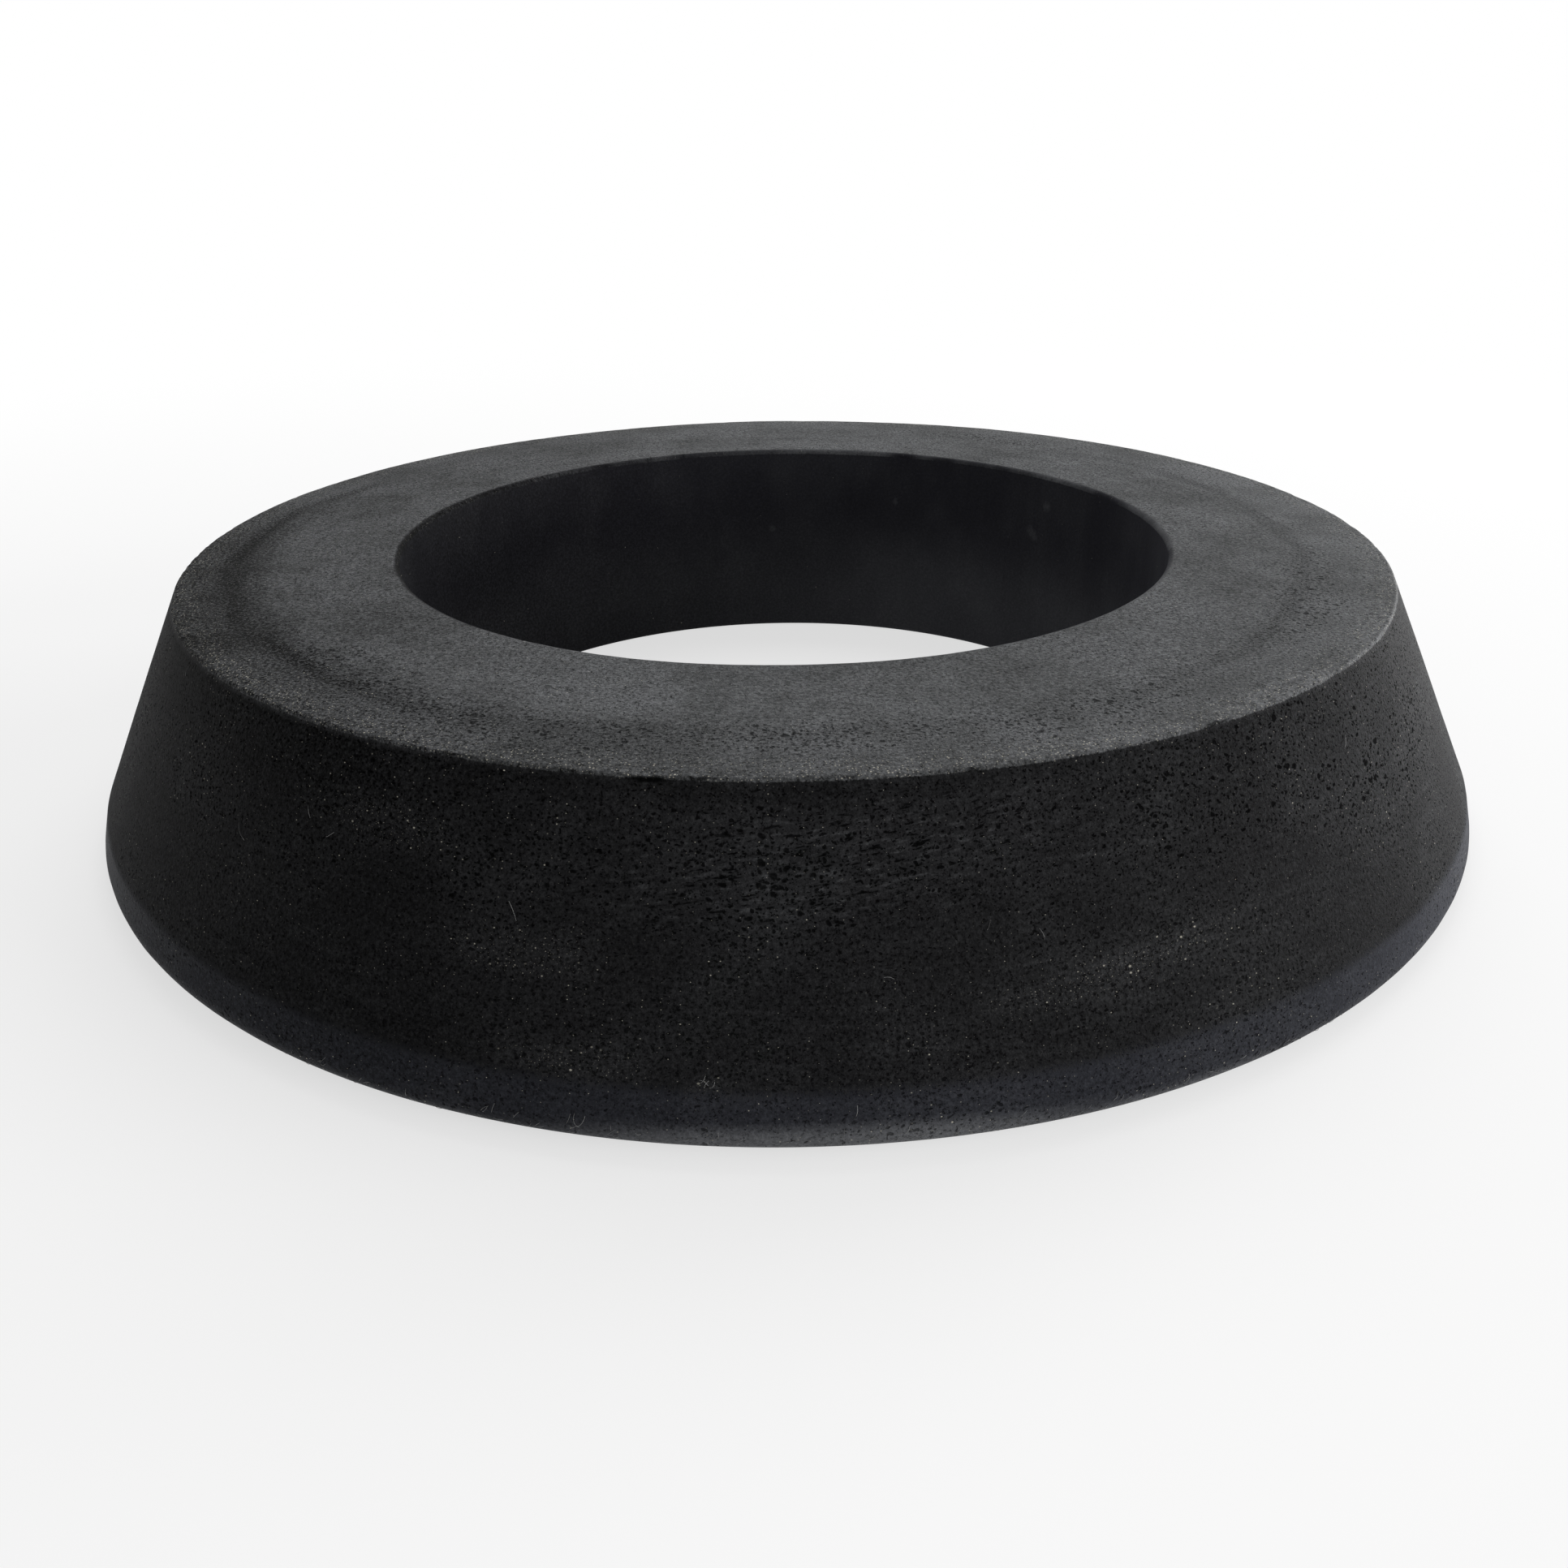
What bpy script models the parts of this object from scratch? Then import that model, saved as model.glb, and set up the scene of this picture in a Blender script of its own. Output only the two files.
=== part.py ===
"""Flush valve gasket: a tapered ring of black moulded rubber, made as one solid.

The ring lies on its wide end. Its axis is +Z, and the origin is the centre of its
underside. Every length is in metres.
"""
import math

import bmesh
import bpy
from mathutils import Vector

# Driving sizes of the section
BORE_DIAMETER = 0.0540       # straight hole for the valve's threaded shank
TOP_WIDTH = 0.01425          # narrow end, from the bore out to the corner
BASE_WIDTH = 0.020625        # from the bore out to the corner between band and cone
HEIGHT = 0.0165              # underside to top face
BAND_HEIGHT = 0.0033         # steeper band under the cone
BAND_SPREAD = 0.0009         # how much further out the band's foot stands than that corner
BORDER_WIDTH = 0.0053        # strip of the top face outside the moulded ring mark
BORDER_DROP = 0.00015        # how far that strip falls away at its outer corner

# Edge roundings
BORE_RIM_RADIUS = 0.0004
TOP_CORNER_RADIUS = 0.00025
BAND_CORNER_RADIUS = 0.0003
FOOT_EDGE_RADIUS = 0.0014

# Fineness of the turned mesh
SEGMENTS = 120
ARC_STEP = math.radians(24)
SHARP_EDGE = math.radians(35)

# Finish
RUBBER_COLOUR = (0.022, 0.022, 0.024, 1.0)
RUBBER_ROUGHNESS = 0.7


def clear_scene():
    """Remove whatever the scene holds before the part is made."""
    for existing in list(bpy.data.objects):
        bpy.data.objects.remove(existing, do_unlink=True)


def rubber_material():
    """Matte black rubber."""
    material = bpy.data.materials.new("black_rubber")
    material.use_nodes = True
    shader = material.node_tree.nodes["Principled BSDF"]
    shader.inputs["Base Color"].default_value = RUBBER_COLOUR
    shader.inputs["Roughness"].default_value = RUBBER_ROUGHNESS
    shader.inputs["Metallic"].default_value = 0.0
    return material


def section_corners():
    """Sharp corners of the section with their roundings, counter-clockwise from the bore's foot."""
    bore = BORE_DIAMETER / 2
    band_corner = bore + BASE_WIDTH
    top_corner = bore + TOP_WIDTH
    border = top_corner - BORDER_WIDTH
    return [
        (Vector((bore, 0.0)), BORE_RIM_RADIUS),
        (Vector((band_corner + BAND_SPREAD, 0.0)), FOOT_EDGE_RADIUS),
        (Vector((band_corner, BAND_HEIGHT)), BAND_CORNER_RADIUS),
        (Vector((top_corner, HEIGHT - BORDER_DROP)), TOP_CORNER_RADIUS),
        (Vector((border, HEIGHT)), 0.0),
        (Vector((bore, HEIGHT)), BORE_RIM_RADIUS),
    ]


def rounded_corner(before, corner, after, radius):
    """Points of the arc that stands in place of one sharp corner."""
    if radius == 0.0:
        return [corner]
    to_before = (before - corner).normalized()
    to_after = (after - corner).normalized()
    opening = to_before.angle(to_after)
    reach = radius / math.tan(opening / 2)
    centre = corner + (to_before + to_after).normalized() * (radius / math.sin(opening / 2))
    first = (corner + to_before * reach - centre).normalized()
    last = (corner + to_after * reach - centre).normalized()
    steps = math.ceil((math.pi - opening) / ARC_STEP)
    return [centre + radius * first.slerp(last, step / steps) for step in range(steps + 1)]


def section_outline():
    """The closed section, as distance from the axis and height, with every corner rounded."""
    corners = section_corners()
    count = len(corners)
    outline = []
    for index, (corner, radius) in enumerate(corners):
        before = corners[index - 1][0]
        after = corners[(index + 1) % count][0]
        outline.extend(rounded_corner(before, corner, after, radius))
    return outline


def gasket_ring():
    """The ring, turned about its axis from the section."""
    shape = bmesh.new()
    points = [shape.verts.new((point.x, 0.0, point.y)) for point in section_outline()]
    edges = [shape.edges.new((points[index - 1], point)) for index, point in enumerate(points)]
    bmesh.ops.spin(shape, geom=points + edges, cent=(0.0, 0.0, 0.0), axis=(0.0, 0.0, 1.0),
                   angle=math.tau, steps=SEGMENTS, use_merge=True)
    bmesh.ops.recalc_face_normals(shape, faces=shape.faces)
    mesh = bpy.data.meshes.new("gasket_ring")
    shape.to_mesh(mesh)
    shape.free()
    mesh.shade_smooth()
    mesh.set_sharp_from_angle(angle=SHARP_EDGE)
    mesh.materials.append(rubber_material())
    ring = bpy.data.objects.new("gasket_ring", mesh)
    bpy.context.scene.collection.objects.link(ring)
    return ring


def main():
    clear_scene()
    gasket_ring()


main()
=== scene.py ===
"""Flush valve gasket: the look of a tapered ring of black moulded rubber.

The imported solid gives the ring's place and overall size. This script turns the same
section finer, gives the skin its pits, worn corner and dust, and sets up a pale studio.
Lengths are in metres, and angles round the ring are measured from the front, which
faces -Y, and grow towards the right, which is +X.
"""

import math
import random
from functools import partial

import bpy
import numpy
from bpy.props import FloatProperty, FloatVectorProperty, IntProperty, PointerProperty
from mathutils import Matrix, Vector
from mathutils.bvhtree import BVHTree


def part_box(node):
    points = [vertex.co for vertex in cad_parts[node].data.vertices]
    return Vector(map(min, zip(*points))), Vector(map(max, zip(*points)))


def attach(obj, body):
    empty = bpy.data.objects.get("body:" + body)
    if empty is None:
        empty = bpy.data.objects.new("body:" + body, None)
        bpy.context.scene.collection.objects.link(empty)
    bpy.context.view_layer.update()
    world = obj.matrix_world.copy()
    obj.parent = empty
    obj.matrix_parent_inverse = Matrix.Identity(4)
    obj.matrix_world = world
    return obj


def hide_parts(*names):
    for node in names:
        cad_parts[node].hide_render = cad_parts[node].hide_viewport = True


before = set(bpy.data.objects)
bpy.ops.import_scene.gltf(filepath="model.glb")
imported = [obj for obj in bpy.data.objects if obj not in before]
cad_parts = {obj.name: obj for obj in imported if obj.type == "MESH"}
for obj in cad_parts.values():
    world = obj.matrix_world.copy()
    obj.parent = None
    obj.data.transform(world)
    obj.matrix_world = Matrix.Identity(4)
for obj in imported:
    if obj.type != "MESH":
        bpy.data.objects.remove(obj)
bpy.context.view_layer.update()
RING_NODE = "gasket_ring"
RING_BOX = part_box(RING_NODE)
RING_HEIGHT = RING_BOX[1].z
BODY = "root"

# Kinds of node that come often
MATH = "ShaderNodeMath"
VECTOR_MATH = "ShaderNodeVectorMath"
MAP_RANGE = "ShaderNodeMapRange"
NOISE = "ShaderNodeTexNoise"
SEPARATE = "ShaderNodeSeparateXYZ"
POSITION = "GeometryNodeInputPosition"

# Sizes of the rubber's patterns; the grain is drawn coarser than real filler grain, so that it shows
SWAY_LENGTH = 0.005
STREAK_STEP = 0.00060
RIDGE_SIZE = (0.0011, 0.00032, 1.0)
RIDGE_TILT = math.radians(11)
GRAIN_SIZE = 0.00020
PORE_CELL = 0.00050
PINHOLE_CELL = 0.00028
SPECK_CELL = 0.00043
SPARKLE_CELL = 0.00021

# Lengths round the ring are measured at this radius, about the middle of the cone
MEAN_RADIUS = 0.044
# How far the cone runs inwards for each length upwards
CONE_SLOPE = 0.4885
# The ring mark sits a little off the axis, and a little outside the border's inner edge
MARK_CENTRE = (-0.0012, -0.0003, 0.0)
MARK_OFFSET = 0.0006
# Degrees from the front to the torn nick's middle, and from one end of it to the other
NICK_ANGLE = -8.9
NICK_SPAN = 3.8
# Fibres strewn along the foot and over the rest, and how high fibres arch off the skin
FOOT_FIBRES = 90
STRAY_FIBRES = 12
PLACED_ARCH = 0.00008
FOOT_ARCH = 0.00006
STRAY_ARCH = 0.00005
FIBRE_STEPS = 7
# Each lamp: its setting's name, place, width and height
LAMPS = (
    ("overhead", (0.1, 0.55, 0.7), 0.7, 0.7), ("side", (0.78, -0.21, 0.18), 0.6, 0.25),
    ("rim", (0.66, 0.46, 0.13), 0.4, 0.2))
FLOOR_HALF = 6.0
MATTE_SHARE = 0.35

# Places on the skin: degrees from the front, height, radius, half length, half width, tilt in degrees
TORN_SKIN = (
    (3.0, 0.0127, 0.0430, 0.0170, 0.0052, 10.0), (35.0, 0.0136, 0.0426, 0.0180, 0.0062, 14.0),
    (50.0, 0.0110, 0.0440, 0.0110, 0.0064, 20.0),
    (120.0, 0.0120, 0.0434, 0.0120, 0.0030, 5.0), (-140.0, 0.0105, 0.0441, 0.0120, 0.0035, -5.0))
PORE_CLUSTERS = (
    (25.0, RING_HEIGHT, 0.0374, 0.0130, 0.0030, 4.0), (64.0, RING_HEIGHT, 0.0364, 0.0170, 0.0030, 2.0),
    (-42.0, RING_HEIGHT, 0.0356, 0.0100, 0.0026, -6.0), (-18.0, RING_HEIGHT, 0.0378, 0.0150, 0.0030, 0.0),
    (3.0, RING_HEIGHT, 0.0370, 0.0150, 0.0024, 0.0), (150.0, RING_HEIGHT, 0.0368, 0.0120, 0.0024, 0.0))
DUSTY_PATCHES = (
    (-16.5, 0.0085, 0.0451, 0.0060, 0.0024, 4.0), (-12.3, 0.0043, 0.0472, 0.0050, 0.0016, 0.0),
    (52.0, 0.0107, 0.0441, 0.0020, 0.0014, 0.0), (20.0, 0.0070, 0.0458, 0.0100, 0.0022, 10.0),
    (-4.6, 0.0037, 0.0474, 0.0012, 0.0006, 20.0), (-27.0, 0.0128, 0.0430, 0.0060, 0.0024, 0.0))
# Along the front foot: a painted reflection of the pale floor, with some dust in it
FOOT_REFLECTION_AND_DUST = (
    (2.0, 0.0009, 0.0483, 0.0165, 0.0017, 0.0), (22.0, 0.0003, 0.0483, 0.0150, 0.0014, 0.0),
    (-25.0, 0.0003, 0.0483, 0.0120, 0.0012, 0.0))
BORE_SPOTS = (
    (125.5, 0.0139, 0.0270, 0.0010, 0.0006, 0.0), (128.5, 0.0113, 0.0270, 0.0014, 0.0007, 20.0),
    (-178.0, 0.0093, 0.0270, 0.0007, 0.0004, 0.0), (158.0, 0.0121, 0.0270, 0.0005, 0.0004, 0.0))
CORNER_TEARS = (
    (NICK_ANGLE, 0.01618, 0.04134, 0.00150, 0.00034, 0.0), (-5.6, 0.01628, 0.04128, 0.00085, 0.00018, 4.0),
    (12.0, 0.01624, 0.04130, 0.00070, 0.00020, -8.0), (-23.0, 0.01626, 0.04129, 0.00100, 0.00016, 0.0),
    (31.0, 0.01626, 0.04129, 0.00120, 0.00014, 0.0))
# Pale lines on the top corner: worn flash, partly a painted edge highlight
CORNER_FLASH_AND_HIGHLIGHT = (
    (-7.6, 0.01640, 0.04112, 0.00330, 0.00010, 0.0), (-4.0, 0.01636, 0.04122, 0.00220, 0.00007, 0.0),
    (13.0, 0.01638, 0.04116, 0.00140, 0.00008, 0.0))

# Loose fibres: degrees from the front, height, length, heading and bend in degrees
FIBRES = (
    (-40.6, 0.0104, 0.0011, -52.0, 25.0), (-17.2, 0.0105, 0.0010, -48.0, -30.0),
    (-31.7, 0.0114, 0.0006, 20.0, 40.0), (-4.9, 0.0038, 0.0004, 35.0, 60.0),
    (-4.7, 0.0036, 0.0004, 80.0, -50.0), (-4.5, 0.0037, 0.0005, 120.0, 70.0),
    (-4.4, 0.0036, 0.0004, 15.0, 90.0), (-12.2, 0.0011, 0.0010, 10.0, 80.0),
    (-11.8, 0.0010, 0.0008, 130.0, -60.0), (3.5, 0.0022, 0.0007, 60.0, 40.0),
    (11.8, 0.0013, 0.0009, 20.0, -70.0), (15.4, 0.0088, 0.0006, 95.0, 30.0),
    (-55.0, 0.0150, 0.0007, 70.0, 30.0), (44.0, 0.0128, 0.0007, 75.0, -30.0))

# Limits of the strewn fibres: along the foot angle first and height next, elsewhere height first
FOOT_LIMITS = ((-32.0, 38.0), (0.0003, 0.0013), (0.0002, 0.0006), (-20.0, 70.0), (-70.0, 70.0))
STRAY_LIMITS = ((0.001, 0.016), (-180.0, 180.0), (0.0003, 0.0008), (-60.0, 60.0), (-60.0, 60.0))

bl_info = {
    "name": "Flush valve gasket",
    "version": (1, 0, 0),
    "blender": (4, 5, 0),
    "location": "3D View > Sidebar > Gasket",
    "description": "Makes the rubber ring, its dust and lint, and a pale studio",
    "category": "Object",
}


def linear(hex_colour):
    """An sRGB colour written as #RRGGBB, as linear red, green, blue and alpha."""
    shares = [int(hex_colour[place:place + 2], 16) / 255 for place in (1, 3, 5)]
    return [c / 12.92 if c <= 0.04045 else ((c + 0.055) / 1.055) ** 2.4 for c in shares] + [1.0]


def length_size(name, description, default):
    """A length that a user can set, in metres."""
    return FloatProperty(name=name, description=description, default=default, unit="LENGTH", precision=5)


def angle_size(name, description, degrees):
    """An angle that a user can set, written here in degrees."""
    return FloatProperty(name=name, description=description, default=math.radians(degrees), subtype="ANGLE")


def plain_amount(name, description, default, least=0.0):
    """A plain amount that a user can set."""
    return FloatProperty(name=name, description=description, default=default, min=least)


def colour(name, description, hex_colour):
    """A colour that a user can set, written here as sRGB hex."""
    return FloatVectorProperty(name=name, description=description, default=linear(hex_colour)[:3],
                               subtype="COLOR", min=0.0, max=1.0, size=3)


class GasketSection(bpy.types.PropertyGroup):
    """Sizes of the ring's section; the height comes from the solid."""

    bore_radius: length_size("Bore radius", "Straight hole for the valve's shank", 0.0270)
    top_width: length_size("Top width", "Narrow end, from the bore to the corner", 0.01425)
    base_width: length_size("Base width", "From the bore to the corner between band and cone", 0.020625)
    band_height: length_size("Band height", "Steeper band under the cone", 0.0033)
    band_spread: length_size("Band spread", "How much further out the band's foot stands", 0.0009)
    border_width: length_size("Border width", "Strip of the top face outside the ring mark", 0.0053)
    border_drop: length_size("Border drop", "How far that strip falls away at the corner", 0.00015)
    bore_rim: length_size("Bore rim radius", "Rounding of the bore's two rims", 0.0004)
    top_corner: length_size("Top corner radius", "Rounding of the corner above the cone", 0.00025)
    band_corner: length_size("Band corner radius", "Rounding between band and cone", 0.0003)
    foot_edge: length_size("Foot edge radius", "Rounding of the outer bottom edge", 0.0014)


class GasketSkin(bpy.types.PropertyGroup):
    """Unevenness, pits and wear of the moulded skin."""

    segments: IntProperty(name="Segments", description="Faces round the ring", default=640, min=60)
    crowding: FloatProperty(name="Front crowding", description="How much finer the front is turned",
                            default=0.3, min=0.0, max=0.8, subtype="FACTOR")
    wave_height: length_size("Wave height", "Slow unevenness of the moulded skin", 0.00012)
    wave_length: length_size("Wave length", "Distance from one slow wave to the next", 0.014)
    ripple_height: length_size("Ripple height", "Small unevenness of the skin", 0.00003)
    ripple_length: length_size("Ripple length", "Distance from one ripple to the next", 0.0022)
    mark_depth: length_size("Ring mark depth", "Depth of the moulded ring mark on the top", 0.00006)
    mark_width: length_size("Ring mark width", "Width of the moulded ring mark on the top", 0.0022)
    chip_depth: length_size("Corner chip depth", "How far the worn corner is eaten away", 0.00008)
    nick_depth: length_size("Nick depth", "Depth of the torn nick in the corner at the front", 0.00016)
    seed: IntProperty(name="Seed", description="Seed of everything random on the skin", default=7)


class GasketDust(bpy.types.PropertyGroup):
    """Loose dust and fibres on the skin."""

    spread: plain_amount("Dust everywhere", "Flecks on each square metre", 1.2e5)
    on_corner: plain_amount("Dust on the corner", "More flecks on each square metre there", 3.6e6)
    on_foot: plain_amount("Dust on the foot", "More flecks on each square metre there", 6.0e5)
    smallest: length_size("Smallest fleck", "Radius of the smallest fleck", 0.000014)
    largest: length_size("Largest fleck", "Radius of the largest fleck", 0.000044)
    fibre: length_size("Fibre radius", "Half the thickness of a loose fibre", 0.000010)
    seed: IntProperty(name="Seed", description="Seed of every loose fleck and fibre", default=11)


class GasketColours(bpy.types.PropertyGroup):
    """Colours of the ring and of what lies on it."""

    cone: colour("Cone", "Carbon-black rubber of the cone", "#202021")
    # The top face's grey is partly rubbed rubber and partly a painted sheen from the light it catches
    worn: colour("Worn rubber", "Greyer rubber of the rubbed top face", "#4E4F50")
    band: colour("Band", "Smoother rubber of the band", "#2F3035")
    bore: colour("Bore", "Smooth rubber of the bore", "#222226")
    # Bloom is also laid on as painted light: the floor's reflection along the front foot, light low in the
    # bore and a highlight on the corner flash
    bloom: colour("Bloom", "Dusty bloom that greys the skin in patches", "#5D5E60")
    # Painted shade inside pores, tears and rips
    pore: colour("Pore", "Inside of a pore", "#030303")
    dust: colour("Dust", "Specks of mineral dust", "#BDB9AC")
    lint: colour("Lint", "Loose fibres", "#9A9A9A")


class GasketStudio(bpy.types.PropertyGroup):
    """The camera, the lamps and the floor."""

    distance: length_size("Camera distance", "From the centre of the ring's underside", 0.106964)
    elevation: angle_size("Camera elevation", "Above the floor", 23.858)
    pitch: angle_size("Camera pitch", "Turned down from the ring's centre", 1.8743)
    yaw: angle_size("Camera yaw", "Turned aside from the ring's centre", 0.0907)
    roll: angle_size("Camera roll", "Turned about the line of sight", -0.6695)
    lens: plain_amount("Lens", "Focal length on a 36 mm sensor, in millimetres", 31.622, 1.0)
    ambient: plain_amount("Ambient light", "Level light from the room", 0.30)
    bounce: plain_amount("Floor bounce", "Light that the floor throws back up", 0.4)
    overhead: plain_amount("Overhead lamp", "Brightness of the lamp above and behind", 2.65)
    side: plain_amount("Side lamp", "Brightness of the lamp on the right", 9.8)
    rim: plain_amount("Rim lamp", "Brightness of the low lamp behind on the right", 18.0)
    floor: colour("Floor", "Pale floor and backdrop", "#FFFFFF")


# A function that builds part of a tree is given add, which is this function bound to that tree
def add_node(tree, kind, links=(), operation=None, **settings):
    """Add one node; links gives its inputs, by name or in order, as values, outputs or whole nodes."""
    node = tree.nodes.new(kind)
    for name, value in settings.items():
        setattr(node, name, value)
    if operation:
        node.operation = operation
    for name, value in links.items() if isinstance(links, dict) else enumerate(links):
        if isinstance(value, bpy.types.Node):
            value = value.outputs[0]
        if isinstance(value, bpy.types.NodeSocket):
            tree.links.new(value, node.inputs[name])
        else:
            node.inputs[name].default_value = value
    return node


def new_node_group(name, inputs):
    """An empty geometry node tree, add_node bound to it, and its inputs, named in lists by socket type."""
    tree = bpy.data.node_groups.new(name, "GeometryNodeTree")
    for kind, labels in inputs.items():
        for label in labels:
            tree.interface.new_socket(label, in_out="INPUT", socket_type="NodeSocket" + kind)
    tree.interface.new_socket("Geometry", in_out="OUTPUT", socket_type="NodeSocketGeometry")
    add = partial(add_node, tree)
    return tree, add, add("NodeGroupInput").outputs


def made_by_nodes(name, start, tree, values):
    """Run a geometry node tree on a start mesh, and keep the result as a plain mesh object."""
    piece = bpy.data.objects.new(name, start)
    bpy.context.scene.collection.objects.link(piece)
    modifier = piece.modifiers.new(tree.name, "NODES")
    modifier.node_group = tree
    for socket in tree.interface.items_tree:
        if socket.in_out == "INPUT" and socket.name in values:
            modifier[socket.identifier] = values[socket.name]
    graph = bpy.context.evaluated_depsgraph_get()
    finished = bpy.data.meshes.new_from_object(piece.evaluated_get(graph), preserve_all_data_layers=True,
                                               depsgraph=graph)
    piece.modifiers.remove(modifier)
    piece.data = finished
    finished.name = name
    return piece


def rounded_corner(before, corner, after, radius, step):
    """Points of the arc that stands in place of one sharp corner of the section."""
    to_before = (before - corner).normalized()
    to_after = (after - corner).normalized()
    opening = to_before.angle(to_after)
    reach = radius / math.tan(opening / 2)
    centre = corner + (to_before + to_after).normalized() * (radius / math.sin(opening / 2))
    first = (corner + to_before * reach - centre).normalized()
    last = (corner + to_after * reach - centre).normalized()
    steps = math.ceil((math.pi - opening) / step)
    return [centre + radius * first.slerp(last, share / steps) for share in range(steps + 1)]


def section_points(section):
    """The section as a closed row of points, spaced as finely as each face needs."""
    bore = section.bore_radius
    top_corner = bore + section.top_width
    band_corner = bore + section.base_width
    fine_arc, coarse_arc = math.radians(13), math.radians(30)
    corners = [
        (Vector((bore, 0.0)), section.bore_rim, coarse_arc, 0.0042),
        (Vector((band_corner + section.band_spread, 0.0)), section.foot_edge, fine_arc, 0.00032),
        (Vector((band_corner, section.band_height)), section.band_corner, fine_arc, 0.00031),
        (Vector((top_corner, RING_HEIGHT - section.border_drop)), section.top_corner, fine_arc, 0.00031),
        (Vector((top_corner - section.border_width, RING_HEIGHT)), 0.0005, coarse_arc, 0.00033),
        (Vector((bore, RING_HEIGHT)), section.bore_rim, fine_arc, 0.0016),
    ]
    outline = []
    arcs = []
    for place, (corner, radius, step, spacing) in enumerate(corners):
        before = corners[place - 1][0]
        after = corners[(place + 1) % len(corners)][0]
        arcs.append((rounded_corner(before, corner, after, radius, step), spacing))
    for place, (arc, spacing) in enumerate(arcs):
        following = arcs[(place + 1) % len(arcs)][0]
        outline.extend(arc)
        run = following[0] - arc[-1]
        count = max(1, round(run.length / spacing))
        outline.extend(arc[-1] + run * (share / count) for share in range(1, count))
    return outline


def section_mesh(section):
    """The section's points as a mesh with no faces, which the node tree reads by number."""
    points = section_points(section)
    mesh = bpy.data.meshes.new("ring_section")
    mesh.from_pydata([(point.x, 0.0, point.y) for point in points], [], [])
    return mesh


def ring_tree():
    """Geometry nodes that turn the section into the ring and roughen its skin."""
    tree, add, given = new_node_group("Turned rubber ring", {
        "Geometry": ["Section"], "Material": ["Rubber"], "Int": ["Segments", "Rows", "Seed"],
        "Float": ["Front Crowding", "Wave Height", "Wave Length", "Ripple Height", "Ripple Length",
                  "Mark Radius", "Mark Depth", "Mark Width", "Corner Radius", "Corner Height", "Chip Depth",
                  "Nick Depth"]})
    turned = turned_section(add, given)
    patterned = kept_patterns(add, given, turned)
    uneven = uneven_skin(add, given, patterned)
    worn = worn_corner(add, given, uneven)
    smooth = add("GeometryNodeSetShadeSmooth", {"Geometry": held_inside(add, worn)})
    angle = add("GeometryNodeInputMeshEdgeAngle")
    sharp = add("FunctionNodeCompare", [angle.outputs["Unsigned Angle"], math.radians(50)],
                data_type="FLOAT", operation="GREATER_THAN")
    edged = add("GeometryNodeSetShadeSmooth", {
        "Geometry": smooth, "Selection": sharp, "Shade Smooth": False}, domain="EDGE")
    real = add("GeometryNodeRealizeInstances", {"Geometry": edged})
    rubber = add("GeometryNodeSetMaterial", {"Geometry": real, "Material": given["Rubber"]})
    add("NodeGroupOutput", {"Geometry": rubber})
    return tree


def turned_section(add, given):
    """A grid wrapped round the axis, one row of faces for each step of the section."""
    columns = add(MATH, [given["Segments"], 1.0], "ADD")
    rows = add(MATH, [given["Rows"], 1.0], "ADD")
    grid = add("GeometryNodeMeshGrid", {
        "Size X": 1.0, "Size Y": 1.0, "Vertices X": columns, "Vertices Y": rows})
    place = add(SEPARATE, [add(POSITION)])
    across = add(MATH, [place.outputs["Y"], 0.5], "ADD")
    row = add(MATH, [across, given["Rows"]], "MULTIPLY")
    whole = add(MATH, [row], "ROUND")
    wrapped = add(MATH, [whole, given["Rows"]], "MODULO")
    number = add("FunctionNodeFloatToInt", [wrapped], rounding_mode="ROUND")
    sample = add("GeometryNodeSampleIndex", {
        "Geometry": given["Section"], "Value": add(POSITION), "Index": number}, data_type="FLOAT_VECTOR")
    profile = add(SEPARATE, [sample.outputs["Value"]])
    turn = add(MATH, [place.outputs["X"], math.tau], "MULTIPLY")
    sway = add(MATH, [turn], "SINE")
    crowd = add(MATH, [sway, given["Front Crowding"]], "MULTIPLY")
    angle = add(MATH, [turn, crowd], "SUBTRACT")
    sine = add(MATH, [angle], "SINE")
    cosine = add(MATH, [angle], "COSINE")
    sideways = add(MATH, [profile.outputs["X"], sine], "MULTIPLY")
    onward = add(MATH, [profile.outputs["X"], cosine], "MULTIPLY")
    backward = add(MATH, [onward, -1.0], "MULTIPLY")
    point = add("ShaderNodeCombineXYZ", {"X": sideways, "Y": backward, "Z": profile.outputs["Z"]})
    wrap = add("GeometryNodeSetPosition", {"Geometry": grid.outputs["Mesh"], "Position": point})
    closed = add("GeometryNodeMergeByDistance", {"Geometry": wrap, "Distance": 1e-6})
    return closed.outputs[0]


def held_inside(add, geometry):
    """Pull in what stands past the solid's own box, so that the dressed ring is no bigger."""
    position = add(POSITION)
    raised = add(VECTOR_MATH, [position, RING_BOX[0]], "MAXIMUM")
    lowered = add(VECTOR_MATH, [raised, RING_BOX[1]], "MINIMUM")
    return add("GeometryNodeSetPosition", {"Geometry": geometry, "Position": lowered})


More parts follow.
